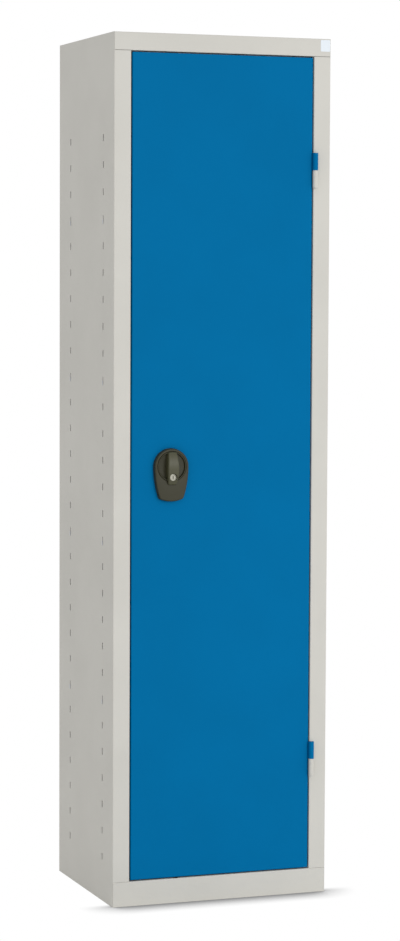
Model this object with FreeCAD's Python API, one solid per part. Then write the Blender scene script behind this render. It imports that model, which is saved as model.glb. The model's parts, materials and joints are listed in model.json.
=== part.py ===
import FreeCAD, Part
import math
import os

# A tall single-door steel storage cabinet, built as it comes apart on a bench.
# Millimetres. +Z is up, the door faces -Y, and the origin is the middle of the footprint on the floor.

V = FreeCAD.Vector

# Carcass
cabinet_width = 515.0
cabinet_depth = 405.0
cabinet_height = 1950.0
sheet = 1.2                    # carcass sheet
bend = 1.0                     # inside radius of the folds that show
stile_width = 40.0
top_rail_height = 40.0
bottom_rail_height = 56.0
jamb_depth = 24.0              # from the front face back to the door stop
stop_lip = 10.0
rear_flange = 15.0
rail_seam = 0.4                # open joint between the top rail and the stiles
base_flange = 30.0
wall_hole_diameter = 9.0
wall_hole_spacing = 300.0
wall_hole_drop = 100.0         # from the top of the cabinet

# Slots in the side walls, and the shelves that hang in them
slot_height = 15.0
slot_width = 4.5
slot_pitch = 60.0
first_slot_drop = 221.0        # from the top of the cabinet to the top of the first slot
slot_foot_room = 90.0          # least height of a slot above the floor
front_column_set = 76.0        # from the front face
rear_column_set = 86.0         # from the back
shelf_count = 4
first_shelf_row = 3
shelf_row_step = 6
shelf_sheet = 1.0
shelf_skirt = 25.0
shelf_lip = 12.0
shelf_front_room = 6.0         # behind the stop lip
shelf_rear_room = 3.0
shelf_side_play = 0.5
clip_sheet = 1.5
clip_width = 12.0
clip_ledge = 12.0
clip_tab_room = 1.0            # between a clip's tab and the sides of its slot
clip_tab_height = 6.0
clip_hook_drop = 4.0
clip_drop = 10.0               # from the foot of the slot down to the ledge

# Door
door_gap = 3.0
door_sheet = 1.2
door_lip = 14.0
stiffener_sheet = 1.0
stiffener_width = 36.0
stiffener_height = 14.0
stiffener_foot = 12.0
stiffener_set = 48.0           # right of the cabinet's middle
stiffener_end_room = 60.0
buffer_height = 3.7
buffer_edge = 1.0              # from the buffer to the edge of the stop lip
buffer_play = 0.3
buffer_set = 150.0             # from the door's top and bottom edges

# Lift-off hinges
upper_hinge_drop = 296.0       # from the top of the cabinet to the hinge's parting line
lower_hinge_rise = 312.0       # from the floor to the hinge's parting line
hinge_pin_radius = 3.0
knuckle_wall = 3.0
knuckle_length = 39.0
knuckle_cap = 3.0              # closed end above the pin
hinge_face_room = 0.4          # between a knuckle and the front face
hinge_leaf_bite = 1.0          # from the side of the knuckle to the door's leaf
hinge_leaf_room = 0.6          # between the two leaves in the door gap
hinge_leaf_depth = 15.0        # behind the front face
hinge_parting_room = 0.3       # between the door's knuckle and the frame's

# Handle, all heights measured outwards from the door's face
handle_inset = 91.0            # from the door's left edge to the handle axis
handle_height = 990.5
escutcheon_rim = 6.5           # around the dish's recess
escutcheon_drop = 79.0         # from the axis down to the foot
escutcheon_foot_inset = 12.5   # from the widest place in to the side, at the foot
escutcheon_foot_rise = 6.0     # crown of the foot's curve
escutcheon_corner = 10.0
escutcheon_height = 12.0
escutcheon_edge = 2.5          # chamfer
escutcheon_floor = 3.0
dish_radius = 33.5
dish_play = 0.5
dish_lift = 0.4                # between the dish and the escutcheon's floor
dish_proud = 1.0               # rim of the dish above the escutcheon's face
dish_floor = 2.0
dish_rim = 2.5
grip_end_play = 0.5
grip_drop = 41.0               # from the axis down to the grip's nose, which reaches over the dish's rim
grip_waist_half = 13.0         # half width at the widest
grip_end_half = 9.5            # half width at both ends
grip_nose_corner = 3.5         # chamfer, seen from the front
grip_end_proud = 3.0           # ends of the grip above the dish's rim
grip_rise = 10.0               # crown of the grip above its ends
grip_edge = 2.0                # chamfer
spindle_square = 8.0
spindle_cap = 3.4              # left between the spindle's end and the dish's floor
hub_wall = 1.8                 # around the corners of the square

# Lock in the grip's lower end
lock_radius = 7.5
lock_rise = 4.0                # face of the lock above the grip's ends
lock_seat_room = 1.2
lock_seat_wall = 8.3           # of the grip, below the lock's seat
plug_radius = 5.5
plug_inset = 0.5
keyway_length = 7.0
keyway_width = 1.4
keyway_depth = 8.0
tongue_bite = 3.5              # into the escutcheon's rim
tongue_width = 6.0
tongue_thickness = 2.0
tongue_room = 0.5

# Rack-and-pinion case behind the handle, and the two locking rods
gear_module = 1.5
pinion_teeth = 16
tooth_addendum = 0.8           # stub teeth, in modules
tooth_dedendum = 1.1           # in modules
pressure_angle = 20.0
tooth_backlash = 0.1           # taken off each tooth's thickness
gear_play = 0.3
spare_teeth = 2                # on a rack, past each end of its travel
rack_end = 3.7                 # past the last tooth, away from the rod
pinion_hub_wall = 1.4          # around the corners of the square
pinion_hub_proud = 0.6         # past the cover
rack_back = 10.0               # from the pitch line to the rack's back
rack_lead = 40.0               # from the pinion axis to the rod's end of the rack
case_sheet = 1.5
case_height = 100.0
boss_gear_room = 6.8           # between the pinion and the two screw bosses
boss_half = 5.0                # square bosses, which keep the escutcheon from turning
boss_room = 0.4
screw_flats = 4.0              # threads and their holes are drawn six-sided
screw_head_flats = 7.0
screw_head = 2.8
washer_half = 8.0
washer = 1.2
rod_half = 4.0                 # square bar
rod_spigot_half = 2.5
rod_spigot = 12.0
rod_end_set = 9.0              # rod end inside the door's edge when drawn in
bush_wall = 0.8                # of the square bushes that the rods slide in and lock into
guide_height = 18.0
keeper_room = 0.5
keeper_height = 4.0

# Fits, each on a radius
press_fit = 0.02               # pieces that stay together
running_fit = 0.05             # pieces that turn or slide in one another
through_hole_room = 1.0        # holes that a turning or sliding piece passes clear of

# Places worked out from the sizes above
left = -cabinet_width / 2
right = cabinet_width / 2
front = -cabinet_depth / 2
back = cabinet_depth / 2
stop_face = front + jamb_depth
opening_top = cabinet_height - top_rail_height
floor_top = bottom_rail_height + stop_lip
rear_inside = back - 2 * sheet             # front of the back panel
wall_inside = left + sheet
jamb_left = left + stile_width
jamb_right = right - stile_width

door_left = jamb_left + door_gap
door_right = jamb_right - door_gap
door_bottom = bottom_rail_height + door_gap
door_top = opening_top - door_gap
door_depth = jamb_depth - buffer_height - buffer_play
skin = front + door_sheet                  # inner face of the door's skin
buffer_half = (stop_lip - bend - buffer_edge) / 2

knuckle_radius = hinge_pin_radius + knuckle_wall
hinge_leaf = (door_gap - hinge_leaf_room) / 2
hinge_x = door_right + knuckle_radius - hinge_leaf_bite
hinge_y = front - hinge_face_room - knuckle_radius

handle_x = door_left + handle_inset
handle_z = handle_height
dish_under = escutcheon_floor + dish_lift
tongue_space = tongue_thickness + 2 * tongue_room
dish_top = dish_under + tongue_space + dish_floor
dish_height = escutcheon_height + dish_proud
dish_mouth_radius = dish_radius - dish_rim
recess_radius = dish_radius + dish_play
escutcheon_radius = recess_radius + escutcheon_rim
square_reach = spindle_square / math.sqrt(2)
hub_radius = square_reach + hub_wall
grip_half = dish_radius - grip_end_play
grip_end_height = dish_height + grip_end_proud
grip_crown = grip_end_height + grip_rise
lock_height = grip_end_height + lock_rise
lock_z = handle_z - grip_drop + lock_seat_wall + lock_seat_room + lock_radius
tongue_length = lock_z - handle_z + recess_radius + tongue_bite

pitch_radius = gear_module * pinion_teeth / 2
tooth_pitch = math.pi * gear_module
tooth_tip = tooth_addendum * gear_module
tooth_root = tooth_dedendum * gear_module
gear_width = 2 * rod_half
pinion_hub_radius = square_reach + pinion_hub_wall
boss_offset = pitch_radius + tooth_tip + boss_gear_room + boss_half
case_inside = skin + case_sheet
gear_front = case_inside + gear_play
gear_rear = gear_front + gear_width
cover_front = gear_rear + gear_play
cover_rear = cover_front + case_sheet
pinion_rear = cover_rear + pinion_hub_proud
rod_y = gear_front + rod_half
rack_rear = pitch_radius + rack_back       # back of a rack, from the pinion axis
teeth_behind = math.ceil(pinion_teeth / 4) + spare_teeth
rod_set = (pitch_radius + tooth_root + rack_rear) / 2
case_half = rack_rear + gear_play + case_sheet
keeper_mouth = rod_half + keeper_room      # half width of a keeper's hole
bush_half = keeper_mouth + bush_wall
past = 1.0                                 # how far a cutter runs past a face


# Outlines and blocks
def on_plan(z):
    return lambda a, b: V(a, b, z)


def on_side(x):
    return lambda a, b: V(x, a, b)


def on_front(y):
    return lambda a, b: V(a, y, b)


def box(x0, x1, y0, y1, z0, z1):
    return Part.makeBox(x1 - x0, y1 - y0, z1 - z0, V(x0, y0, z0))


def post(radius, x, y, z0, z1):
    return Part.makeCylinder(radius, z1 - z0, V(x, y, z0), V(0, 0, 1))


def bar(radius, x, z, y0, y1):
    return Part.makeCylinder(radius, y1 - y0, V(x, y0, z), V(0, 1, 0))


def hexagon_bar(flats, x, z, y0, y1):
    corner = flats / math.sqrt(3)
    angles = [math.pi * i / 3 for i in range(7)]
    outline = [V(x + corner * math.cos(a), y0, z + corner * math.sin(a)) for a in angles]
    return Part.Face(Part.makePolygon(outline)).extrude(V(0, y1 - y0, 0))


def screw_hole(x, z, y0, y1):
    return hexagon_bar(screw_flats + 2 * press_fit, x, z, y0, y1)


def proud(height):
    # The y of a face that stands this far out of the door's face
    return front - height


def rounded_face(corners, place):
    # A closed outline of (a, b, radius) corners, with an arc wherever the radius isn't zero
    edges = []
    count = len(corners)
    starts = []
    for i in range(count):
        ax, ay, _ = corners[i - 1]
        bx, by, radius = corners[i]
        cx, cy, _ = corners[(i + 1) % count]
        into = V(bx - ax, by - ay, 0).normalize()
        out = V(cx - bx, cy - by, 0).normalize()
        corner = V(bx, by, 0)
        if radius == 0:
            starts.append((corner, corner))
            continue
        turn = into.getAngle(out)
        reach = radius * math.tan(turn / 2)
        inward = (out - into).normalize()
        middle = corner + inward * (radius / math.cos(turn / 2) - radius)
        first, last = corner - into * reach, corner + out * reach
        edges.append(Part.Arc(*[place(p.x, p.y) for p in (first, middle, last)]).toShape())
        starts.append((first, last))
    for i in range(count):
        begin, end = starts[i - 1][1], starts[i][0]
        if begin.distanceToPoint(end) > 1e-6:
            edges.append(Part.LineSegment(place(begin.x, begin.y), place(end.x, end.y)).toShape())
    return Part.Face(Part.Wire(Part.__sortEdges__(edges)))


def folded_strip(path, wall):
    # Corners of a folded sheet: path is its outer mould line, with each fold's inside radius,
    # and the sheet lies to the path's left. A fold of no radius is left sharp
    outer, inner = [], []
    last = len(path) - 1
    for i, (a, b, inside) in enumerate(path):
        here = V(a, b, 0)
        before = (here - V(*path[i - 1][:2], 0)).normalize() if i > 0 else None
        after = (V(*path[i + 1][:2], 0) - here).normalize() if i < last else None
        left_of = [V(-d.y, d.x, 0) for d in (before, after) if d is not None]
        if len(left_of) == 1:
            offset = here + left_of[0] * wall
            outer.append((a, b, 0))
            inner.append((offset.x, offset.y, 0))
            continue
        offset = here + (left_of[0] + left_of[1]) * (wall / (1 + left_of[0].dot(left_of[1])))
        outside = inside + wall if inside else 0
        turns_left = before.x * after.y - before.y * after.x > 0
        outer.append((a, b, outside if turns_left else inside))
        inner.append((offset.x, offset.y, inside if turns_left else outside))
    return outer + inner[::-1]


def folded_pan(width, length, depth, wall, lip, inside):
    # A sheet with four folded edges and inward lips; its face lies down on z = 0
    def edges_at(shape, z):
        return [e for e in shape.Edges if all(abs(v.Z - z) < 1e-6 for v in e.Vertexes)]

    def block(inset, z0, z1):
        return box(inset - width / 2, width / 2 - inset, inset - length / 2, length / 2 - inset, z0, z1)

    outer = block(0, 0, depth)
    hollow = block(wall, wall, depth - wall)
    if inside:
        outer = outer.makeFillet(inside + wall, edges_at(outer, 0))
        hollow = hollow.makeFillet(inside, edges_at(hollow, wall))
    mouth = block(lip, depth - wall, depth + past)
    relief = bend + wall
    corners = [box(x - relief, x + relief, y - relief, y + relief, relief, depth + past)
               for x in (-width / 2, width / 2) for y in (-length / 2, length / 2)]
    return outer.cut([hollow, mouth] + corners)


def placed(shape, axis, angle, x, y, z):
    shape = shape.copy()
    shape.rotate(V(0, 0, 0), axis, angle)
    shape.translate(V(x, y, z))
    return shape


def turned_with_handle(shape, angle):
    # A copy turned clockwise about the handle axis, as seen from the front
    shape = shape.copy()
    shape.rotate(V(handle_x, 0, handle_z), V(0, 1, 0), angle)
    return shape


def mirrored(shape):
    return shape.mirror(V(0, 0, 0), V(1, 0, 0))


# Carcass
def slot_feet():
    # Height of the foot of every slot, from the top row down
    top = cabinet_height - first_slot_drop - slot_height
    rows = int((top - slot_foot_room) / slot_pitch) + 1
    return [top - slot_pitch * row for row in range(rows)]


def slot_columns():
    return (front + front_column_set, back - rear_column_set)


def left_side_panel():
    path = [(left + rear_flange, back, 0), (left, back, 0), (left, front, bend), (jamb_left, front, bend),
            (jamb_left, stop_face, 0), (jamb_left + stop_lip, stop_face, 0)]
    panel = rounded_face(folded_strip(path, sheet), on_plan(0)).extrude(V(0, 0, cabinet_height))
    lip_rear = stop_face + sheet + past
    stile_top = opening_top - rail_seam
    flange_top = cabinet_height - rear_flange
    notches = [
        box(wall_inside, 0, front - past, lip_rear, -past, bottom_rail_height),
        box(wall_inside, 0, stop_face - bend, lip_rear, -past, floor_top),
        box(wall_inside, 0, front - past, lip_rear, stile_top, cabinet_height + past),
        box(wall_inside, 0, back - sheet - bend, back + past, flange_top, cabinet_height + past),
    ]
    half = slot_width / 2
    slots = [box(left - past, wall_inside + past, y - half, y + half, z, z + slot_height)
             for y in slot_columns() for z in slot_feet()]
    return panel.cut(notches + slots)


def back_panel():
    half = -wall_inside - bend
    panel = box(-half, half, rear_inside, rear_inside + sheet, 0, cabinet_height - sheet - bend)
    z = cabinet_height - wall_hole_drop
    holes = [bar(wall_hole_diameter / 2, x, z, rear_inside - past, back + past)
             for x in (-wall_hole_spacing / 2, wall_hole_spacing / 2)]
    return panel.cut(holes)


def top_panel():
    path = [(back, cabinet_height - rear_flange, 0), (back, cabinet_height, 0),
            (front, cabinet_height, bend), (front, opening_top, bend),
            (stop_face, opening_top, 0), (stop_face, opening_top - stop_lip, 0)]
    panel = rounded_face(folded_strip(path, sheet), on_side(wall_inside)).extrude(V(-2 * wall_inside, 0, 0))
    z0, z1 = cabinet_height - rear_flange, cabinet_height - sheet
    flanges = [box(x, x + sheet, stop_face + 2 * sheet, rear_inside, z0, z1)
               for x in (wall_inside, -wall_inside - sheet)]
    lip_end, lip_foot = jamb_left + stop_lip, opening_top - stop_lip
    cuts = [box(x0, x1, stop_face - bend, stop_face + sheet + past, lip_foot - past, opening_top)
            for x0, x1 in ((left, lip_end), (-lip_end, right))]
    cuts.append(bush_hole(handle_x - rod_set, opening_top))
    return panel.fuse(flanges).cut(cuts).removeSplitter()


def bottom_panel():
    path = [(rear_inside, floor_top, 0), (stop_face, floor_top, 0), (stop_face, bottom_rail_height, 0),
            (front, bottom_rail_height, bend), (front, 0, 0)]
    panel = rounded_face(folded_strip(path, sheet), on_side(wall_inside)).extrude(V(-2 * wall_inside, 0, 0))
    return panel.cut(bush_hole(handle_x + rod_set, bottom_rail_height))


def base_frame():
    # A ring of folded sheet under the floor, behind the rail's jamb; its front foot turns forward to the rail
    y0, y1 = stop_face + sheet, rear_inside
    height = floor_top - sheet
    ring = box(wall_inside, -wall_inside, y0, y1, 0, height)
    hollow = box(wall_inside + sheet, -wall_inside - sheet, y0 + sheet, y1 - sheet, sheet, height + past)
    half_mouth = -wall_inside - base_flange
    mouth = box(-half_mouth, half_mouth, y0 + sheet, y1 - base_flange, -past, sheet + past)
    foot = box(wall_inside, -wall_inside, front + sheet, y0, 0, sheet)
    return ring.cut([hollow, mouth]).fuse(foot).removeSplitter()


def shelf_ledges():
    # Height of the clip ledges that carry each shelf, from the top shelf down
    shelf_feet = slot_feet()[first_shelf_row::shelf_row_step]
    return [foot - clip_drop for foot in shelf_feet[:shelf_count]]


def shelf(ledge):
    y0 = stop_face + sheet + shelf_front_room
    y1 = rear_inside - shelf_rear_room
    width = 2 * (-wall_inside - clip_sheet - shelf_side_play)
    pan = folded_pan(width, y1 - y0, shelf_skirt, shelf_sheet, shelf_lip, 0)
    return placed(pan, V(1, 0, 0), 180, 0, (y0 + y1) / 2, ledge + shelf_skirt)


def shelf_clip(y, ledge):
    # A plate on the wall with a ledge below and a hook through the slot
    x = wall_inside
    foot = ledge + clip_drop
    under = ledge - clip_sheet
    half = clip_width / 2
    plate = box(x, x + clip_sheet, y - half, y + half, under, foot + slot_height)
    shelf_ledge = box(x, x + clip_ledge, y - half, y + half, under, ledge)
    tab_half = (slot_width - clip_tab_room) / 2
    y0, y1 = y - tab_half, y + tab_half
    tab = box(left - sheet, x, y0, y1, foot, foot + clip_tab_height)
    hook = box(left - sheet, left, y0, y1, foot - clip_hook_drop, foot + clip_tab_height)
    return plate.fuse([shelf_ledge, tab, hook]).removeSplitter()


def shelf_clips():
    clips = [shelf_clip(y, ledge) for ledge in shelf_ledges() for y in slot_columns()]
    return Part.makeCompound(clips + [mirrored(clip) for clip in clips])


def door_buffers():
    x1 = jamb_left + stop_lip - buffer_edge
    y0 = front + door_depth + buffer_play
    return Part.makeCompound([box(x1 - 2 * buffer_half, x1, y0, stop_face, z - buffer_half, z + buffer_half)
                              for z in (door_bottom + buffer_set, door_top - buffer_set)])


def bush_hole(x, edge):
    reach = max(sheet, door_sheet) + bend + past
    return rod_block(x, bush_half + press_fit, edge - reach, edge + reach)


def rod_bush(x, mouth, edge, far):
    # A square sleeve on a rod's axis, from the face of the sheet that holds it to its far end
    low, high = min(edge, far), max(edge, far)
    return rod_block(x, bush_half, low, high).cut(rod_block(x, mouth, low - past, high + past))


def rod_keepers():
    upper = rod_bush(handle_x - rod_set, keeper_mouth, opening_top, opening_top + keeper_height)
    foot = bottom_rail_height
    lower = rod_bush(handle_x + rod_set, keeper_mouth, foot, foot - keeper_height)
    return Part.makeCompound([upper, lower])


# Hinges: the door's knuckle stands above the frame's
def knuckle(z0, z1, leaf_x):
    barrel = post(knuckle_radius, hinge_x, hinge_y, z0, z1)
    leaf = box(leaf_x, leaf_x + hinge_leaf, hinge_y, front + hinge_leaf_depth, z0, z1)
    return barrel.fuse(leaf).removeSplitter()


def door_knuckle(parting):
    z0 = parting + hinge_parting_room
    z1 = z0 + knuckle_length
    bore = post(hinge_pin_radius + running_fit, hinge_x, hinge_y, z0 - past, z1 - knuckle_cap)
    return knuckle(z0, z1, door_right).cut(bore)


def frame_knuckle(parting):
    z0 = parting - knuckle_length
    bore = post(hinge_pin_radius + press_fit, hinge_x, hinge_y, z0 - past, parting + past)
    return knuckle(z0, parting, jamb_right - hinge_leaf).cut(bore)


def hinge_pin(parting):
    top = parting + hinge_parting_room + knuckle_length - 2 * knuckle_cap
    return post(hinge_pin_radius, hinge_x, hinge_y, parting - knuckle_length, top)


def at_both_hinges(piece):
    return Part.makeCompound([piece(cabinet_height - upper_hinge_drop), piece(lower_hinge_rise)])


# Door
def boss_places():
    return [(handle_x, handle_z + boss_offset), (handle_x, handle_z - boss_offset)]


def boss_blocks(half, y0, y1):
    return [box(x - half, x + half, y0, y1, z - half, z + half) for x, z in boss_places()]


def door_panel():
    width = door_right - door_left
    height = door_top - door_bottom
    pan = folded_pan(width, height, door_depth, door_sheet, door_lip, bend)
    pan = placed(pan, V(1, 0, 0), -90, (door_left + door_right) / 2, front, (door_bottom + door_top) / 2)
    holes = [bar(hub_radius + through_hole_room, handle_x, handle_z, front - past, skin + past)]
    holes += boss_blocks(boss_half + boss_room, front - past, skin + past)
    holes += [bush_hole(handle_x - rod_set, door_top), bush_hole(handle_x + rod_set, door_bottom)]
    return pan.cut(holes)


def door_stiffener():
    x0, x1 = stiffener_set - stiffener_width / 2, stiffener_set + stiffener_width / 2
    crown = skin + stiffener_height
    path = [(x0 - stiffener_foot, skin, 0), (x0, skin, 0), (x0, crown, 0),
            (x1, crown, 0), (x1, skin, 0), (x1 + stiffener_foot, skin, 0)]
    z0, z1 = door_bottom + stiffener_end_room, door_top - stiffener_end_room
    return rounded_face(folded_strip(path, stiffener_sheet), on_plan(z0)).extrude(V(0, 0, z1 - z0))


# Handle: a moulded escutcheon, and a dish with an arched grip that turns in it
def escutcheon_outline():
    # A round head that runs smoothly into sides which taper to a crowned foot
    def at(a, b):
        return V(handle_x + a, front, handle_z + b)

    foot_z = escutcheon_foot_rise - escutcheon_drop
    side_z = foot_z / 2
    wide = escutcheon_radius
    foot = wide - escutcheon_foot_inset
    sweep = (escutcheon_foot_inset ** 2 + foot_z ** 2) / (2 * escutcheon_foot_inset)
    waist = wide - sweep + math.sqrt(sweep ** 2 - side_z ** 2)
    arcs = [((-wide, 0), (0, wide), (wide, 0)),
            ((wide, 0), (waist, side_z), (foot, foot_z)),
            ((foot, foot_z), (0, -escutcheon_drop), (-foot, foot_z)),
            ((-foot, foot_z), (-waist, side_z), (-wide, 0))]
    return Part.Face(Part.Wire([Part.Arc(at(*a), at(*b), at(*c)).toShape() for a, b, c in arcs]))


def tongue_pocket():
    # Room for the tongue's swing, with one straight side that it locks against
    y1, y0 = proud(escutcheon_floor), proud(dish_under + tongue_space + tongue_room)
    swing = bar(tongue_length + tongue_room, handle_x, lock_z, y0, y1)
    side = handle_x + tongue_width / 2 + tongue_room
    reach = tongue_length + tongue_room + past
    keep = box(side - 2 * reach, side, y0, y1, lock_z - reach, handle_z)
    return swing.common(keep)


def handle_escutcheon():
    body = escutcheon_outline().extrude(V(0, -escutcheon_height, 0))
    foot_z = handle_z + escutcheon_foot_rise - escutcheon_drop
    corners = [e for e in body.Edges
               if len(e.Vertexes) == 2 and all(abs(v.Z - foot_z) < 1e-3 for v in e.Vertexes)
               and abs(e.Vertexes[0].X - e.Vertexes[1].X) < 1e-3]
    body = body.makeFillet(escutcheon_corner, corners)
    face_y = proud(escutcheon_height)
    rim = [e for e in body.Edges if all(abs(v.Y - face_y) < 1e-6 for v in e.Vertexes)]
    body = body.makeChamfer(escutcheon_edge, rim)
    recess = bar(recess_radius, handle_x, handle_z, face_y - past, proud(escutcheon_floor))
    pocket = tongue_pocket()
    hub_hole = bar(hub_radius + running_fit, handle_x, handle_z, face_y, front + past)
    bosses = boss_blocks(boss_half, front, cover_front)
    pilots = [screw_hole(x, z, gear_front, cover_front + past) for x, z in boss_places()]
    return body.cut([recess, pocket, turned_with_handle(pocket, 90), hub_hole]).fuse(bosses).cut(pilots)


def grip_plan():
    # A leaf that swells in the middle, with a round upper end inside the dish and a blunt nose below it
    def at(a, b):
        return V(handle_x + a, proud(dish_top), handle_z + b)

    end, waist, shoulder = grip_end_half, grip_waist_half, math.sqrt(grip_half ** 2 - grip_end_half ** 2)
    middle = (grip_half - grip_drop) / 2
    edges = [Part.Arc(at(-end, shoulder), at(0, grip_half), at(end, shoulder)).toShape(),
             Part.Arc(at(end, shoulder), at(waist, middle), at(end, -grip_drop)).toShape(),
             Part.LineSegment(at(end, -grip_drop), at(-end, -grip_drop)).toShape(),
             Part.Arc(at(-end, -grip_drop), at(-waist, middle), at(-end, shoulder)).toShape()]
    leaf = Part.Face(Part.Wire(edges)).extrude(V(0, dish_top - grip_crown - past, 0))
    nose_z = handle_z - grip_drop
    corners = [e for e in leaf.Edges
               if len(e.Vertexes) == 2 and all(abs(v.Z - nose_z) < 1e-6 for v in e.Vertexes)
               and abs(e.Vertexes[0].Y - e.Vertexes[1].Y) > past]
    return leaf.makeChamfer(grip_nose_corner, corners)


def grip_blank():
    # An arch seen from the side, with a round foot in the dish and a nose that clears the dish's rim
    def at(height, b):
        return V(handle_x - grip_waist_half, proud(height), handle_z + b)

    corners = [at(grip_end_height, -grip_drop), at(dish_top, -grip_drop), at(dish_top, grip_half),
               at(grip_end_height, grip_half)]
    edges = [Part.LineSegment(a, b).toShape() for a, b in zip(corners, corners[1:])]
    crown = at(grip_crown, (grip_half - grip_drop) / 2)
    edges.append(Part.Arc(corners[-1], crown, corners[0]).toShape())
    arch = Part.Face(Part.Wire(edges)).extrude(V(2 * grip_waist_half, 0, 0)).common(grip_plan())
    y_rim, y_floor = proud(dish_height), proud(dish_top) + past
    under_nose = box(handle_x - grip_waist_half, handle_x + grip_waist_half, y_rim, y_floor,
                     handle_z - grip_drop - past, handle_z)
    return arch.cut(under_nose.cut(bar(grip_half, handle_x, handle_z, y_rim, y_floor)))


def lock_bore(radius, low, high):
    # A round about the lock's own axis, between two heights out of the door's face
    return bar(radius, handle_x, lock_z, proud(high), proud(low))


def grip_bar():
    blank = grip_blank()
    crown = min(blank.Faces, key=lambda f: f.BoundBox.YMin + f.BoundBox.YMax)
    grip = blank.makeChamfer(grip_edge, crown.Edges)
    seat = lock_bore(lock_radius + lock_seat_room, lock_height, grip_crown + past)
    return grip.cut([seat, lock_bore(lock_radius + press_fit, 0, grip_crown)])


def knob_dish():
    y_rim, y_under = proud(dish_height), proud(dish_under)
    dish = bar(dish_radius, handle_x, handle_z, y_rim, y_under)
    bowl = bar(dish_mouth_radius, handle_x, handle_z, y_rim - past, proud(dish_top))
    hub = bar(hub_radius, handle_x, handle_z, y_under, gear_front)
    socket = square_bar(spindle_square / 2, proud(dish_top - spindle_cap), gear_front + past)
    swing = lock_bore(tongue_length + tongue_room, dish_under - past, dish_under + tongue_space)
    hole = lock_bore(lock_radius + press_fit, 0, dish_top + past)
    return dish.cut([bowl, grip_blank(), swing]).fuse(hub).cut([socket, hole])


def square_bar(half, y0, y1):
    # A square block on the handle axis
    return box(handle_x - half, handle_x + half, y0, y1, handle_z - half, handle_z + half)


def spindle():
    shaft = square_bar(spindle_square / 2, proud(dish_top - spindle_cap), pinion_rear)
    return shaft.cut(screw_hole(handle_x, handle_z, gear_front, pinion_rear + past))


def spindle_washer():
    washer_rear = pinion_rear + washer
    plate = square_bar(washer_half, pinion_rear, washer_rear)
    return plate.cut(screw_hole(handle_x, handle_z, pinion_rear - past, washer_rear + past))


def screw(x, z, tip, seat):
    head = hexagon_bar(screw_head_flats, x, z, seat, seat + screw_head)
    return hexagon_bar(screw_flats, x, z, tip, seat).fuse(head)


def spindle_screw():
    return screw(handle_x, handle_z, gear_front, pinion_rear + washer)


def handle_screws():
    return Part.makeCompound([screw(x, z, gear_front, cover_rear) for x, z in boss_places()])


# Lock cylinder, its plug, and the tongue that holds the dish in the escutcheon
def lock_cylinder():
    low = dish_under + tongue_space
    sleeve = lock_bore(lock_radius, low, lock_height)
    return sleeve.cut(lock_bore(plug_radius + running_fit, low - past, lock_height + past))


def lock_plug():
    face = lock_height - plug_inset
    plug = lock_bore(plug_radius, dish_under + tongue_room + tongue_thickness, face)
    half_width, half_length = keyway_width / 2, keyway_length / 2
    keyway = box(handle_x - half_width, handle_x + half_width, proud(face + past),
                 proud(face - keyway_depth), lock_z - half_length, lock_z + half_length)
    return plug.cut(keyway)


def lock_tongue():
    half = tongue_width / 2
    low = dish_under + tongue_room
    return box(handle_x - tongue_length, handle_x + plug_radius, proud(low + tongue_thickness), proud(low),
               lock_z - half, lock_z + half)


# Rack-and-pinion case
def involute(base, radius):
    # Angle of the involute at a radius, from where it leaves its base circle
    t = math.sqrt(max((radius / base) ** 2 - 1, 0))
    return t - math.atan(t)


def pinion():
    base = pitch_radius * math.cos(math.radians(pressure_angle))
    tip, root = pitch_radius + tooth_tip, pitch_radius - tooth_root
    half_tooth = (tooth_pitch / 2 - tooth_backlash) / 2 / pitch_radius
    foot = half_tooth + involute(base, pitch_radius)

    def at(radius, angle):
        return V(handle_x + radius * math.cos(angle), gear_front, handle_z + radius * math.sin(angle))

    # Each flank runs through three points of its involute, on a short radial foot
    radii = (base, (base + tip) / 2, tip)
    points = []
    for tooth in range(pinion_teeth):
        middle = tooth * 2 * math.pi / pinion_teeth
        points.append(at(root, middle - foot))
        points += [at(r, middle - foot + involute(base, r)) for r in radii]
        points += [at(r, middle + foot - involute(base, r)) for r in reversed(radii)]
        points.append(at(root, middle + foot))
    gear = Part.Face(Part.makePolygon(points + points[:1])).extrude(V(0, gear_width, 0))
    hub = bar(pinion_hub_radius, handle_x, handle_z, gear_rear, pinion_rear)
    return gear.fuse(hub).cut(square_bar(spindle_square / 2, gear_front - past, pinion_rear + past))


def rack(side):
    # Straight teeth that mesh with the pinion, enough for a quarter turn of the handle.
    # side is -1 for the rack that rises, on the left, and +1 for the one that falls
    slope = math.tan(math.radians(pressure_angle))
    half_tooth = (tooth_pitch / 2 - tooth_backlash) / 2
    root_half, tip_half = half_tooth + tooth_root * slope, half_tooth - tooth_tip * slope
    up = -side
    tail = -teeth_behind * tooth_pitch - rack_end

    def corner(depth, along):
        # depth runs from the pitch line towards the pinion, along runs towards the rod
        return (handle_x + side * (pitch_radius - depth), handle_z + up * along, 0)

    # A pinion with an odd count has a gap, not a tooth, on its left
    first_middle = 0.0 if side < 0 and pinion_teeth % 2 else 0.5
    points = [corner(-rack_back, tail), corner(-tooth_root, tail)]
    for tooth in range(-teeth_behind, spare_teeth):
        middle = (tooth + first_middle) * tooth_pitch
        points += [corner(-tooth_root, middle - root_half), corner(tooth_tip, middle - tip_half),
                   corner(tooth_tip, middle + tip_half), corner(-tooth_root, middle + root_half)]
    points += [corner(-tooth_root, rack_lead), corner(-rack_back, rack_lead)]
    body = rounded_face(points, on_front(gear_front)).extrude(V(0, gear_width, 0))
    z0, z1 = sorted((handle_z + up * (rack_lead - rod_spigot), handle_z + up * (rack_lead + past)))
    return body.cut(rod_block(handle_x + side * rod_set, rod_spigot_half + press_fit, z0, z1))


def rod_block(x, half, z0, z1):
    # A square bar on a rod's axis
    return box(x - half, x + half, rod_y - half, rod_y + half, min(z0, z1), max(z0, z1))


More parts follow.
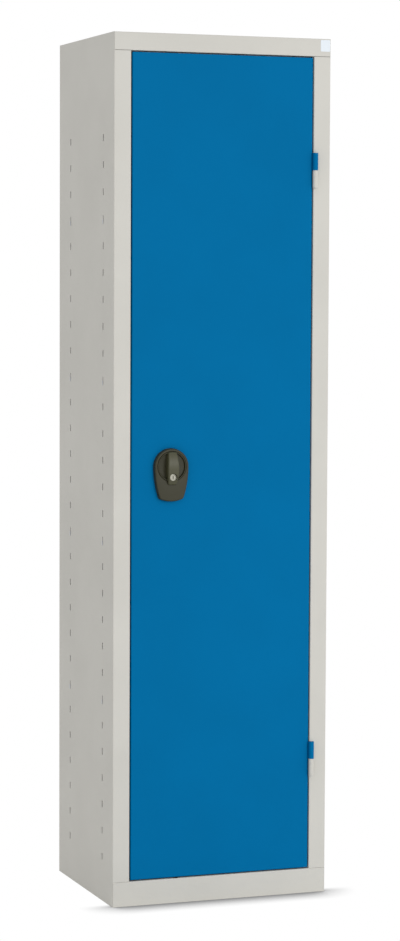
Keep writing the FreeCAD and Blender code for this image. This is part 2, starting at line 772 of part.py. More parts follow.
def locking_rod(side):
    # Drawn in: its end lies inside its guide, clear of the door's edge
    x = handle_x + side * rod_set
    seat = handle_z - side * rack_lead
    end = door_top - rod_end_set if side < 0 else door_bottom + rod_end_set
    spigot = rod_block(x, rod_spigot_half, seat, seat + side * rod_spigot)
    return rod_block(x, rod_half, seat, end).fuse(spigot)


def lock_case():
    # A channel on the door's skin, clamped there by the handle's screws
    x0, x1 = handle_x - case_half, handle_x + case_half
    z0, z1 = handle_z - case_height / 2, handle_z + case_height / 2
    path = [(x0, cover_front, 0), (x0, skin, 0), (x1, skin, 0), (x1, cover_front, 0)]
    channel = rounded_face(folded_strip(path, case_sheet), on_plan(z0)).extrude(V(0, 0, z1 - z0))
    y0, y1 = skin - past, case_inside + past
    holes = [bar(hub_radius + through_hole_room, handle_x, handle_z, y0, y1)]
    return channel.cut(holes + boss_blocks(boss_half + boss_room, y0, y1))


def lock_case_cover():
    plate = box(handle_x - case_half, handle_x + case_half, cover_front, cover_rear,
                handle_z - case_height / 2, handle_z + case_height / 2)
    y0, y1 = cover_front - past, cover_rear + past
    hub_hole = bar(pinion_hub_radius + running_fit, handle_x, handle_z, y0, y1)
    return plate.cut([hub_hole] + [screw_hole(x, z, y0, y1) for x, z in boss_places()])


def rod_guides():
    mouth = rod_half + running_fit
    upper = rod_bush(handle_x - rod_set, mouth, door_top, door_top - guide_height)
    lower = rod_bush(handle_x + rod_set, mouth, door_bottom, door_bottom + guide_height)
    return Part.makeCompound([upper, lower])


def all_parts():
    side_panel = left_side_panel()
    parts = {
        "left_side_panel": side_panel,
        "right_side_panel": mirrored(side_panel),
        "back_panel": back_panel(),
        "top_panel": top_panel(),
        "bottom_panel": bottom_panel(),
        "base_frame": base_frame(),
        "shelf_clips": shelf_clips(),
        "door_buffers": door_buffers(),
        "rod_keepers": rod_keepers(),
        "hinge_frame_knuckles": at_both_hinges(frame_knuckle),
        "hinge_door_knuckles": at_both_hinges(door_knuckle),
        "hinge_pins": at_both_hinges(hinge_pin),
        "door_panel": door_panel(),
        "door_stiffener": door_stiffener(),
        "handle_escutcheon": handle_escutcheon(),
        "knob_dish": knob_dish(),
        "grip_bar": grip_bar(),
        "spindle": spindle(),
        "spindle_washer": spindle_washer(),
        "spindle_screw": spindle_screw(),
        "pinion": pinion(),
        "lock_cylinder": lock_cylinder(),
        "lock_plug": lock_plug(),
        "lock_tongue": lock_tongue(),
        "lock_case": lock_case(),
        "lock_case_cover": lock_case_cover(),
        "handle_screws": handle_screws(),
        "rod_guides": rod_guides(),
        "upper_rack": rack(-1),
        "lower_rack": rack(1),
        "upper_rod": locking_rod(-1),
        "lower_rod": locking_rod(1),
    }
    for i, ledge in enumerate(shelf_ledges()):
        parts["shelf_%d" % (i + 1)] = shelf(ledge)
    return parts


os.makedirs("parts", exist_ok=True)
for node, shape in all_parts().items():
    shape.exportStep("parts/%s.step" % node)
    print(node, len(shape.Solids), "solid" if len(shape.Solids) == 1 else "solids", round(shape.Volume, 1))
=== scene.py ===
import json
import math
import bmesh
import bpy
import numpy as np
from mathutils import Matrix, Vector


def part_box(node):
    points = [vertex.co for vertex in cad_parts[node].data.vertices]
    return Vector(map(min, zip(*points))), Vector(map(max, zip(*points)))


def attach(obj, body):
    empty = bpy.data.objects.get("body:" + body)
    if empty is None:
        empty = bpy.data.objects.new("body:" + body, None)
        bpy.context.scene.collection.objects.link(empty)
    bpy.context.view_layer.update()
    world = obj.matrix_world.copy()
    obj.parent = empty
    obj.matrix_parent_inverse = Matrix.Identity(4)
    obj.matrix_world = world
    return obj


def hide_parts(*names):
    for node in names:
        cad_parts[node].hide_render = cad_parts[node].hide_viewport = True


# Tall steel cabinet with one inset door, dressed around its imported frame.
# Metres, +Z up, the door faces -Y. Sizes in the dictionaries are millimetres unless a note says otherwise.
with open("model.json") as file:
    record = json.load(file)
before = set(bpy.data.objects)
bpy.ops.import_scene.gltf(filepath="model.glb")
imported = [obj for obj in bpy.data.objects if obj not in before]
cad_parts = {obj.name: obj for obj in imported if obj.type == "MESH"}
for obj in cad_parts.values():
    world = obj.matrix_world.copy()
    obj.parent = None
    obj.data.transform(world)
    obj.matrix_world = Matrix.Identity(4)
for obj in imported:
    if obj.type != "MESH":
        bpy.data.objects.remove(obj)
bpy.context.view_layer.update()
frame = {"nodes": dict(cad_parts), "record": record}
mm = 0.001
print("frame loaded with", len(frame["nodes"]), "nodes")


# Materials
def linear(hexText):
    # sRGB hex to linear: v / 12.92 below 0.04045, else ((v + 0.055) / 1.055) ^ 2.4
    v = np.array([int(hexText[i:i + 2], 16) for i in (1, 3, 5)]) / 255
    return (*np.where(v <= 0.04045, v / 12.92, ((v + 0.055) / 1.055) ** 2.4).tolist(), 1.0)


def addNode(tree, kind, sockets, **settings):
    # one node: settings are its properties, sockets take a constant or another node's output
    made = tree.nodes.new("ShaderNode" + kind)
    for name, value in settings.items():
        setattr(made, name, value)
    for name, value in sockets.items():
        if isinstance(value, bpy.types.NodeSocket):
            tree.links.new(value, made.inputs[name])
        else:
            made.inputs[name].default_value = value
    return made


def newMaterial(name):
    # an empty material, its node tree, and the place on the object that its patterns read
    made = bpy.data.materials.new(name)
    made.use_nodes = True
    tree = made.node_tree
    tree.nodes.clear()
    return made, tree, addNode(tree, "TexCoord", {}).outputs["Object"]


def closeMaterial(tree, shader):
    addNode(tree, "OutputMaterial", {"Surface": shader.outputs["BSDF"]})


mixFrom, mixTo, mixed = 6, 7, 2   # a Mix node's colour sockets, which share their names with its others


greyCoat = {"name": "lightGreyPowderCoatedSteel", "colour": "#cfcdc6", "shade": "#cbc9c2", "roughness": 0.52,
            "spread": 0.06, "gloss": 0.2, "peel": 2.4, "peelDepth": 0.05, "cloud": 160.0, "edge": 1.0}
blueCoat = {"name": "bluePowderCoatedSteel", "colour": "#006ca2", "shade": "#006a9f", "roughness": 0.55,
            "spread": 0.06, "gloss": 0.02, "peel": 2.4, "peelDepth": 0.05, "cloud": 160.0, "edge": 1.0}
cloudRange = (0.35, 0.65)   # noise levels where the coat is all shade and all colour


def powderCoat(look):
    # powder coat baked on folded steel: an even satin colour, a faint orange peel, soft edges where the coat
    # flows. The real peel is about 0.8 mm across; it is drawn three times as coarse so that it shows at all
    made, tree, place = newMaterial(look["name"])
    cloud = addNode(tree, "TexNoise", {"Vector": place, "Scale": 1 / (look["cloud"] * mm), "Detail": 3.0})
    tone = addNode(tree, "MapRange", {"Value": cloud.outputs["Fac"], "From Min": cloudRange[0],
                                      "From Max": cloudRange[1]})
    colour = addNode(tree, "Mix", {"Factor": tone.outputs["Result"], mixFrom: linear(look["shade"]),
                                   mixTo: linear(look["colour"])}, data_type="RGBA")
    peel = addNode(tree, "TexNoise", {"Vector": place, "Scale": 1 / (look["peel"] * mm), "Detail": 1.0})
    rough = addNode(tree, "MapRange", {
        "Value": peel.outputs["Fac"], "To Min": look["roughness"] - look["spread"],
        "To Max": look["roughness"] + look["spread"]})
    edge = addNode(tree, "Bevel", {"Radius": look["edge"] * mm}, samples=4)
    bump = addNode(tree, "Bump", {"Height": peel.outputs["Fac"], "Distance": look["peelDepth"] * mm,
                                  "Strength": 1.0, "Normal": edge.outputs["Normal"]})
    shader = addNode(tree, "BsdfPrincipled", {
        "Base Color": colour.outputs[mixed], "Roughness": rough.outputs["Result"],
        "Specular IOR Level": look["gloss"], "Normal": bump.outputs["Normal"]})
    closeMaterial(tree, shader)
    return made


darkPlastic = {"name": "darkGreyMouldedNylon", "colour": "#343320", "shade": "#2d2c1a", "roughness": 0.46,
               "spread": 0.08, "gloss": 0.32, "grain": 0.9, "grainDepth": 0.03}
greyPlastic = {"name": "greyMouldedNylon", "colour": "#46462f", "shade": "#3f3e29", "roughness": 0.42,
               "spread": 0.08, "gloss": 0.4, "grain": 0.9, "grainDepth": 0.03}
blackPlastic = {"name": "blackMouldedNylon", "colour": "#2a2a2b", "shade": "#222223", "roughness": 0.5,
                "spread": 0.08, "gloss": 0.4, "grain": 0.9, "grainDepth": 0.03}
rubber = {"name": "blackMouldedRubber", "colour": "#262626", "shade": "#1e1e1e", "roughness": 0.8,
          "spread": 0.08, "gloss": 0.25, "grain": 0.6, "grainDepth": 0.02}


def mouldedPlastic(look):
    # nylon or rubber moulded in a spark-eroded tool: a matt pebbled skin that breaks the highlight up.
    # The real grain is about 0.3 mm; it is drawn coarser so that it shows
    made, tree, place = newMaterial(look["name"])
    grain = addNode(tree, "TexNoise", {"Vector": place, "Scale": 1 / (look["grain"] * mm), "Detail": 2.0})
    colour = addNode(tree, "Mix", {"Factor": grain.outputs["Fac"], mixFrom: linear(look["shade"]),
                                   mixTo: linear(look["colour"])}, data_type="RGBA")
    rough = addNode(tree, "MapRange", {
        "Value": grain.outputs["Fac"], "To Min": look["roughness"] - look["spread"],
        "To Max": look["roughness"] + look["spread"]})
    bump = addNode(tree, "Bump", {"Height": grain.outputs["Fac"], "Distance": look["grainDepth"] * mm})
    shader = addNode(tree, "BsdfPrincipled", {
        "Base Color": colour.outputs[mixed], "Roughness": rough.outputs["Result"],
        "Specular IOR Level": look["gloss"], "Normal": bump.outputs["Normal"]})
    closeMaterial(tree, shader)
    return made


nickel = {"name": "satinNickelPlatedBrass", "colour": "#9b9a8f", "roughness": 0.34, "spread": 0.06,
          "ring": 0.7, "ringDepth": 0.012}
waveLength = 0.314   # between two rings of Blender's wave texture at scale 1


def turnedNickel(look, axis):
    # nickel over turned brass: fine rings round the lock's axis stretch the highlight into a fan.
    # Real turning marks are about 0.1 mm apart; they are drawn coarser so that a close view shows them
    made, tree, place = newMaterial(look["name"])
    centred = addNode(tree, "Mapping", {"Vector": place, "Location": (-axis[0], 0.0, -axis[1])})
    rings = addNode(tree, "TexWave", {
        "Vector": centred.outputs["Vector"], "Scale": waveLength / (look["ring"] * mm), "Distortion": 0.4},
        wave_type="RINGS", rings_direction="Y")
    rough = addNode(tree, "MapRange", {
        "Value": rings.outputs["Fac"], "To Min": look["roughness"] - look["spread"],
        "To Max": look["roughness"] + look["spread"]})
    bump = addNode(tree, "Bump", {"Height": rings.outputs["Fac"], "Distance": look["ringDepth"] * mm})
    shader = addNode(tree, "BsdfPrincipled", {
        "Base Color": linear(look["colour"]), "Metallic": 1.0, "Roughness": rough.outputs["Result"],
        "Normal": bump.outputs["Normal"]})
    closeMaterial(tree, shader)
    return made


zinc = {"name": "brightZincPlatedSteel", "colour": "#c6c9cd", "shade": "#b3b6ba", "roughness": 0.36,
        "spread": 0.1, "patch": 6.0, "line": 0.8, "lineDepth": 0.01, "stretch": 20.0}


def zincPlate(look):
    # electro-plated steel: pale blue-white metal, cloudy patches of gloss over faint rolling lines.
    # Real lines are about 0.2 mm apart; they are drawn coarser so that a close view shows them
    made, tree, place = newMaterial(look["name"])
    patch = addNode(tree, "TexNoise", {"Vector": place, "Scale": 1 / (look["patch"] * mm), "Detail": 3.0})
    colour = addNode(tree, "Mix", {"Factor": patch.outputs["Fac"], mixFrom: linear(look["shade"]),
                                   mixTo: linear(look["colour"])}, data_type="RGBA")
    rough = addNode(tree, "MapRange", {
        "Value": patch.outputs["Fac"], "To Min": look["roughness"] - look["spread"],
        "To Max": look["roughness"] + look["spread"]})
    along = addNode(tree, "Mapping", {"Vector": place, "Scale": (1.0, 1.0, 1 / look["stretch"])})
    lines = addNode(tree, "TexNoise", {"Vector": along.outputs["Vector"], "Scale": 1 / (look["line"] * mm)})
    bump = addNode(tree, "Bump", {"Height": lines.outputs["Fac"], "Distance": look["lineDepth"] * mm})
    shader = addNode(tree, "BsdfPrincipled", {
        "Base Color": colour.outputs[mixed], "Metallic": 1.0, "Roughness": rough.outputs["Result"],
        "Normal": bump.outputs["Normal"]})
    closeMaterial(tree, shader)
    return made


film = {"name": "whiteVinylLabel", "colour": "#dbe3ea", "roughness": 0.35, "peel": 1.2, "peelDepth": 0.01}


def vinylLabel(look):
    # a self-adhesive vinyl label: smooth white film with a trace of the paint's peel showing through
    made, tree, place = newMaterial(look["name"])
    peel = addNode(tree, "TexNoise", {"Vector": place, "Scale": 1 / (look["peel"] * mm)})
    bump = addNode(tree, "Bump", {"Height": peel.outputs["Fac"], "Distance": look["peelDepth"] * mm})
    shader = addNode(tree, "BsdfPrincipled", {
        "Base Color": linear(look["colour"]), "Roughness": look["roughness"],
        "Normal": bump.outputs["Normal"]})
    closeMaterial(tree, shader)
    return made


# Places that the frame gives
dishLow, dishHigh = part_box("knob_dish")
lockLow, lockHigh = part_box("lock_cylinder")
handleX, handleZ = (dishLow.x + dishHigh.x) / 2, (dishLow.z + dishHigh.z) / 2
lockX, lockZ = (lockLow.x + lockHigh.x) / 2, (lockLow.z + lockHigh.z) / 2
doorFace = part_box("door_panel")[0].y

finishes = {
    "carcass_paint": powderCoat(greyCoat),
    "door_paint": powderCoat(blueCoat),
    "escutcheon_plastic": mouldedPlastic(darkPlastic),
    "grip_plastic": mouldedPlastic(greyPlastic),
    "guide_plastic": mouldedPlastic(blackPlastic),
    "lock_nickel": turnedNickel(nickel, (lockX, lockZ)),
    "zinc_steel": zincPlate(zinc),
    "buffer_rubber": mouldedPlastic(rubber),
}
labelFilm = vinylLabel(film)
for part in frame["record"]["subparts"]:
    mesh = frame["nodes"][part["node"]].data
    mesh.materials.clear()
    mesh.materials.append(finishes[part["material_slot"]])
print("materials made and put on the frame:", len(finishes))


# Surfaces
def gridQuads(rows, columns, wrapColumns=False):
    # quads of a rows x columns grid of points, each joining four neighbours
    across = columns if wrapColumns else columns - 1
    r, c = np.meshgrid(np.arange(rows - 1), np.arange(across), indexing="ij")
    here, above = r.ravel() * columns, (r.ravel() + 1) * columns
    c, c2 = c.ravel(), (c.ravel() + 1) % columns
    return np.stack([here + c, here + c2, above + c2, above + c], axis=1)


def ringQuads(grid):
    # the same for a grid of points whose columns go all the way round
    return gridQuads(*grid.shape[:2], wrapColumns=True)


roundSides = 96   # of what is turned, unless it says otherwise


def fullTurn(count=roundSides):
    # angles all the way round, without the last one, which is the first again
    return np.linspace(0, 2 * math.pi, count, endpoint=False)


def ringGrid(a, rows, centre, face):
    # rings about an axis along Y, from rows of (radius, height out of the face), each one value or a value
    # for every angle: (x, y, z) = (cx + r cos a, face - h, cz + r sin a)
    r, h = (np.stack([np.broadcast_to(value, a.shape) for value in column]) * mm for column in zip(*rows))
    return np.stack([centre[0] + r * np.cos(a), face - h, centre[1] + r * np.sin(a)], axis=-1)


straight = 1e-4   # radians; a corner that turns less needs no arc


def softProfile(corners, steps=6):
    # an open line of (across, height, radius) corners, each corner an arc tangent to both its legs:
    # the arc leaves each leg at radius * tan(turn / 2) from the corner
    corners = np.array(corners, float)
    line = [corners[:1, :2]]
    for before, here, after in zip(corners[:-2], corners[1:-1], corners[2:]):
        into, out = here[:2] - before[:2], after[:2] - here[:2]
        into, out = into / np.linalg.norm(into), out / np.linalg.norm(out)
        turn = math.acos(np.clip(into @ out, -1, 1))
        if here[2] == 0 or turn < straight:
            line.append(here[None, :2])
            continue
        reach = here[2] * math.tan(turn / 2)
        centre = here[:2] + (out - into) / np.linalg.norm(out - into) * here[2] / math.cos(turn / 2)
        first = here[:2] - into * reach - centre
        side = np.sign(into[0] * out[1] - into[1] * out[0])
        a = side * np.linspace(0, turn, steps + 1)
        line.append(centre + np.stack([first[0] * np.cos(a) - first[1] * np.sin(a),
                                       first[0] * np.sin(a) + first[1] * np.cos(a)], axis=1))
    line.append(corners[-1:, :2])
    return np.concatenate(line)


def lathe(profile, centre, segments=roundSides, turn=0.0):
    # a profile of (radius, height) turned about an axis out of the door's face: every ring is a circle
    return ringGrid(turn + fullTurn(segments), profile, centre, doorFace)


crease = math.radians(40)   # sharper edges are drawn sharp
sameSpot = 1e-6   # metres; nearer points are one
flatTurn = 0.01   # radians; faces that turn less are one flat


def newMesh(name, grid, quads, joinFlats=False):
    # points and quads to a mesh: doubles merged so that seams and poles close, faces turned outwards
    mesh = bpy.data.meshes.new(name)
    mesh.from_pydata(grid.reshape(-1, 3).tolist(), [], quads.tolist())
    work = bmesh.new()
    work.from_mesh(mesh)
    bmesh.ops.remove_doubles(work, verts=work.verts, dist=sameSpot)
    bmesh.ops.recalc_face_normals(work, faces=work.faces)
    if joinFlats:
        work.normal_update()
        bmesh.ops.dissolve_limit(work, angle_limit=flatTurn, verts=work.verts, edges=work.edges)
    work.to_mesh(mesh)
    work.free()
    return mesh


def smoothMesh(mesh):
    # smooth shading, apart from the edges that turn more than the crease
    mesh.polygons.foreach_set("use_smooth", np.ones(len(mesh.polygons), bool))
    mesh.set_sharp_from_angle(angle=crease)


def newPiece(name, grid, quads, material, body):
    # a smooth piece with its place in its mesh, which moves with a body
    mesh = newMesh(name, grid, quads)
    smoothMesh(mesh)
    mesh.materials.append(material)
    piece = bpy.data.objects.new(name, mesh)
    bpy.context.scene.collection.objects.link(piece)
    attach(piece, body)
    return piece


overrun = 1.0   # a block that cuts or joins reaches this far past the face that it meets


def turnedBlock(centre, steps, sides=64):
    # a closed block about an axis out of the door's face, from (radius, height) steps
    return lathe([(0, steps[0][1]), *steps, (0, steps[-1][1])], centre, sides)


def squareBlock(centre, half, low, high):
    # the same with four sides, turned until they lie square
    reach = half * math.sqrt(2)
    profile = [(0, low), (reach, low), (reach, high), (0, high)]
    return lathe(profile, centre, segments=4, turn=math.pi / 4)


def carve(piece, blocks, operation="DIFFERENCE"):
    # each block is taken out of the piece, or joined to it, and the result is kept as plain mesh
    for grid in blocks:
        tool = bpy.data.objects.new("tool", newMesh("tool", grid, ringQuads(grid), joinFlats=True))
        bpy.context.scene.collection.objects.link(tool)
        step = piece.modifiers.new("carve", "BOOLEAN")
        step.operation, step.solver, step.object = operation, "EXACT", tool
        bpy.context.view_layer.update()
        shaped = bpy.data.meshes.new_from_object(piece.evaluated_get(bpy.context.evaluated_depsgraph_get()))
        piece.modifiers.remove(step)
        piece.data = shaped
        bpy.data.objects.remove(tool)
    work = bmesh.new()
    work.from_mesh(shaped)
    loose = [v for v in work.verts if len(v.link_edges) == 2]   # points left along straight edges
    bmesh.ops.dissolve_verts(work, verts=loose)
    work.to_mesh(shaped)
    work.free()
    shaped.name = piece.name
    smoothMesh(shaped)


# Moulded escutcheon
escutcheon = {"rim": 40.5, "drop": 79.0, "footInset": 12.5, "footRise": 6.0, "cornerPower": 64.0,
              "height": 12.0, "edge": 3.2, "draft": 1.0, "recess": 34.0, "mouthEdge": 0.9, "floor": 3.0,
              "crown": 0.6, "crownWidth": 30.0, "faceRows": 8,
              "hubHole": 7.51, "pocketReach": 14.0, "pocketSide": 3.5, "pocketHigh": 6.9,
              "bossSet": 25.0, "bossHalf": 5.0, "bossEnd": -11.3, "pilot": 2.33, "pilotEnd": -3.0}
steep = -0.8   # only rays that go down more steeply than this can meet the foot


def escutcheonOutline(look, count=240):
    # the outline as a distance from the handle axis over the turn: a round head, sides on one large arc each
    # that leave the head upright, and a crowned foot; the foot's corners are blended by a soft minimum
    a = fullTurn(count)
    x, z = np.abs(np.cos(a)), np.sin(a)
    footZ = look["footRise"] - look["drop"]
    sweep = (look["footInset"] ** 2 + footZ ** 2) / (2 * look["footInset"])
    halfFoot = look["rim"] - look["footInset"]
    crown = (halfFoot ** 2 + look["footRise"] ** 2) / (2 * look["footRise"])

    def reach(cx, cz, radius):
        # distance along (x, z) from the axis to the far side of a circle about (cx, cz)
        along = x * cx + z * cz
        return along + np.sqrt(np.maximum(along ** 2 - cx ** 2 - cz ** 2 + radius ** 2, 0))

    side = np.where(z < 0, reach(look["rim"] - sweep, 0.0, sweep), look["rim"])
    foot = np.where(z < steep, reach(0.0, crown - look["drop"], crown), side)
    near, far, power = np.minimum(side, foot), np.maximum(side, foot), look["cornerPower"]
    soft = near * (1 + (near / far) ** power) ** (-1 / power)
    return a, np.where(z < steep, soft, side)


def makeEscutcheon(look):
    # a flat base, then the wall rises from the door, rolls over a rounded edge, crosses the face, drops into
    # the dish's recess and comes back through the hub's hole to where it began;
    # on the face each point slides from the outline to the recess's circle along its own ray
    a, outline = escutcheonOutline(look)
    high = look["height"]
    edge = softProfile([(0, 0, 0), (look["draft"], high, look["edge"]), (look["rim"], high, 0)], steps=8)[:-1]
    base = (look["hubHole"], 0)
    wall = [(outline - inset, height) for inset, height in edge]
    inner = outline - edge[-1, 0]
    mouth = softProfile([(look["rim"], high, 0), (look["recess"], high, look["mouthEdge"]),
                         (look["recess"], look["pocketHigh"], 0), (look["recess"], look["floor"], 0),
                         (look["hubHole"], look["floor"], 0)], steps=5)[1:]
    face = []
    for t in np.linspace(0, 1, look["faceRows"] + 1)[1:]:
        radius = inner + (np.minimum(mouth[0, 0], inner) - inner) * t
        wide = np.clip((inner - mouth[0, 0]) / look["crownWidth"], 0, 1)
        face.append((radius, high + look["crown"] * math.sin(math.pi * t) * wide))
    grid = ringGrid(a, [base, *wall, *face, *mouth, base], (handleX, handleZ), doorFace)
    piece = newPiece("moulded_escutcheon", grid, ringQuads(grid),
                     finishes["escutcheon_plastic"], "door")
    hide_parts("handle_escutcheon")
    return piece


def tonguePocket(look, turned):
    # room for the lock's tongue in the recess's wall: a disc about the lock's axis with one straight side,
    # x = min(r cos a, side), for the handle upright or turned a quarter: (x, z) to (z, -x)
    a = fullTurn()
    share = np.array([0, 1, 1, 0])[:, None]
    height = np.array([look["floor"]] * 2 + [look["pocketHigh"]] * 2)
    x = share * np.minimum(look["pocketReach"] * np.cos(a), look["pocketSide"]) * mm
    z = share * look["pocketReach"] * np.sin(a) * mm + lockZ - handleZ
    if turned:
        x, z = z, -x
    return np.stack([handleX + x, doorFace - height[:, None] * mm + 0 * x, handleZ + z], axis=-1)


def fitEscutcheon(piece, look):
    # two square bosses through the door's skin, then the tongue's pockets and the screws' holes
    bosses = [(handleX, handleZ + side * look["bossSet"] * mm) for side in (1, -1)]
    carve(piece, [squareBlock(at, look["bossHalf"], look["bossEnd"], overrun) for at in bosses], "UNION")
    pilot = [(look["pilot"], look["bossEnd"] - overrun), (look["pilot"], look["pilotEnd"])]
    pilots = [turnedBlock(at, pilot, sides=6) for at in bosses]
    carve(piece, [tonguePocket(look, False), tonguePocket(look, True)] + pilots)


fitEscutcheon(makeEscutcheon(escutcheon), escutcheon)
print("escutcheon made")


# Turning dish
dish = {"radius": 33.5, "under": 3.4, "rimHeight": 13.0, "rim": 2.5, "draft": 0.8, "floorHeight": 8.4,
        "rimEdge": 1.1, "floorEdge": 1.4, "hub": 7.45, "hubEnd": -3.0, "socketHalf": 4.0, "socketEnd": 5.0,
        "hollow": 14.0, "hollowHigh": 6.4, "bore": 7.52}


def makeDish(look):
    # the hub, the underside, the outer wall, a rounded rim and a bowl that slopes in to a flat floor
    mouth = look["radius"] - look["rim"]
    profile = softProfile([
        (0, look["hubEnd"], 0), (look["hub"], look["hubEnd"], 0), (look["hub"], look["under"], 0),
        (look["radius"], look["under"], 0), (look["radius"], look["rimHeight"], look["rimEdge"]),
        (mouth, look["rimHeight"], look["rimEdge"]),
        (mouth - look["draft"], look["floorHeight"], look["floorEdge"]), (0, look["floorHeight"], 0)])
    grid = lathe(profile, (handleX, handleZ))
    piece = newPiece("turning_dish", grid, ringQuads(grid),
                     finishes["escutcheon_plastic"], "handle")
    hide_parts("knob_dish")
    return piece


def fitDish(piece, look):
    # the spindle's socket in the hub, and under the floor a hollow where the tongue swings,
    # with the lock's bore above it
    socket = squareBlock((handleX, handleZ), look["socketHalf"], look["hubEnd"] - overrun, look["socketEnd"])
    hollow = turnedBlock((lockX, lockZ), [
        (look["hollow"], look["under"] - overrun), (look["hollow"], look["hollowHigh"]),
        (look["bore"], look["hollowHigh"]), (look["bore"], look["floorHeight"] + overrun)])
    carve(piece, [socket, hollow])


fitDish(makeDish(dish), dish)
print("dish made")


# Arched grip with the lock's seat in its lower end
grip = {"top": 33.0, "drop": 41.0, "waist": 13.0, "endHalf": 9.5, "nose": 3.5, "floor": 8.2,
        "rimTop": 13.05, "footReach": 31.5, "end": 16.0, "crown": 26.0, "edge": 2.4,
        "seat": 8.7, "seatHeight": 20.0, "bore": 7.52}
gripRows = {"edge": 7, "across": 11, "along": 45, "inset": 0.02}   # rows of points, and the first one's inset


def gripTop(look):
    # a height over a leaf-shaped plan: s runs across from -1 to 1 and t along from the nose to the upper end.
    # z = low(s) + (high(s) - low(s)) t and x = s w(z), with w one arc that swells to the waist;
    # the crown is one arc along z, and within one edge radius of the border it falls off as a quarter circle
    edge, endHalf, nose = look["edge"], look["endHalf"], look["nose"]
    middle, half = (look["top"] - look["drop"]) / 2, (look["top"] + look["drop"]) / 2

    def arc(z, peak, fall):
        # one circle's arc along the grip: peak at the middle, lower by fall at both ends
        radius = (half ** 2 + fall ** 2) / (2 * fall)
        return peak - radius + np.sqrt(radius ** 2 - (z - middle) ** 2)

    def crowded(border, rows):
        # from 0 to 1, with the border's own rows at both ends and even steps between
        return np.concatenate([border, np.linspace(border[-1], 1 - border[-1], rows)[1:-1], 1 - border[::-1]])

    near = edge * (1 - np.cos(np.linspace(0, math.pi / 2, gripRows["edge"]))) + gripRows["inset"]
    t = crowded(near / (2 * half), gripRows["along"])
    s = 2 * crowded(near / (2 * look["waist"]), gripRows["across"]) - 1
    t, s = np.meshgrid(t, s, indexing="ij")
    corner = np.maximum(np.abs(s) * endHalf - (endHalf - nose), 0)
    high = np.sqrt(look["top"] ** 2 - (s * endHalf) ** 2)
    low = nose - look["drop"] - np.sqrt(np.maximum(nose ** 2 - corner ** 2, 0))
    z = low + (high - low) * t
    wide = arc(z, look["waist"], look["waist"] - endHalf)
    x = s * wide
    fromEnds = np.minimum(high - z, z - low)
    lost = np.hypot(np.maximum(edge - wide + np.abs(x), 0), np.maximum(edge - fromEnds, 0))
    falling = np.sqrt(np.maximum(edge ** 2 - lost ** 2, 0))
    height = arc(z, look["crown"], look["crown"] - look["end"]) - edge + falling
    return np.stack([x, height, z], axis=-1)


def makeGrip(look):
    # the upper sheet, a skirt round its border down to the dish's floor, or to its rim where the ends reach
    # over that, and a lower sheet that closes it
    top = gripTop(look)
    top = np.concatenate([top[:1], top, top[-1:]])
    top = np.concatenate([top[:, :1], top, top[:, -1:]], axis=1)
    under = top.copy()
    inside = np.hypot(top[..., 0], top[..., 2]) < look["footReach"]
    under[..., 1] = np.where(inside, look["floor"], look["rimTop"])
    top[[0, -1]], top[:, [0, -1]] = under[[0, -1]], under[:, [0, -1]]
    rows, columns = top.shape[:2]
    x, height, z = np.concatenate([top.reshape(-1, 3), under.reshape(-1, 3)]).T * mm
    grid = np.stack([handleX + x, doorFace - height, handleZ + z], axis=-1)
    quads = gridQuads(rows, columns)
    quads = np.concatenate([quads, quads[:, ::-1] + rows * columns])
    piece = newPiece("arched_grip", grid, quads, finishes["grip_plastic"], "handle")
    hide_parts("grip_bar")
    return piece


def cutLockSeat(piece, look):
    # the seat and the lock's bore, as one stepped block
    carve(piece, [turnedBlock((lockX, lockZ), [
        (look["bore"], look["floor"] - overrun), (look["bore"], look["seatHeight"]),
        (look["seat"], look["seatHeight"]), (look["seat"], look["crown"] + overrun)])])


cutLockSeat(makeGrip(grip), grip)
print("grip made")


# Lock: a nickel sleeve and the plug that the key turns
sleeve = {"radius": 7.5, "bore": 5.55, "low": 6.4, "high": 20.0, "edge": 0.5, "lip": 0.35, "sides": 72}


def makeSleeve(look):
    # a tube with a rounded outer rim and a broken inner edge
    profile = softProfile([
        (look["bore"], look["low"], 0), (look["radius"], look["low"], 0),
        (look["radius"], look["high"], look["edge"]), (look["bore"], look["high"], look["lip"]),
        (look["bore"], look["low"], 0)])
    grid = lathe(profile, (lockX, lockZ), look["sides"])
    piece = newPiece("lock_sleeve", grid, ringQuads(grid), finishes["lock_nickel"], "handle")
    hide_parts("lock_cylinder")


plug = {"radius": 5.5, "low": 5.9, "high": 19.5, "edge": 0.4, "faceRing": 4.6, "sides": 72,
        "keyLong": 7.0, "keyWide": 1.5, "keyDeep": 8.0, "keyPower": 6, "mouth": 0.3}


def superCircle(a, wide, tall, power):
    # a rectangle with round corners as a distance over the turn: |x / (wide / 2)|^n + |z / (tall / 2)|^n = 1
    return (np.abs(np.cos(a) / (wide / 2)) ** power + np.abs(np.sin(a) / (tall / 2)) ** power) ** (-1 / power)


def makePlug(look):
    # a round plug whose face slides in from its circle to the keyway's outline, which then drops to a floor;
    # the keyway is a slot with rounded corners
    a = fullTurn(look["sides"])
    slot = superCircle(a, look["keyWide"], look["keyLong"], look["keyPower"])
    ring = look["faceRing"]
    outer = softProfile([(0, look["low"], 0), (look["radius"], look["low"], 0),
                         (look["radius"], look["high"], look["edge"]), (ring, look["high"], 0)])
    face = [(ring + (slot + look["mouth"] - ring) * t, look["high"]) for t in (0.5, 1.0)]
    keyway = [(slot, look["high"] - look["mouth"]), (slot, look["high"] - look["keyDeep"]),
              (0, look["high"] - look["keyDeep"])]
    grid = ringGrid(a, [*outer, *face, *keyway], (lockX, lockZ), doorFace)
    piece = newPiece("key_plug", grid, ringQuads(grid), finishes["lock_nickel"], "lock_plug")
    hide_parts("lock_plug")


makeSleeve(sleeve)
makePlug(plug)
print("lock made")


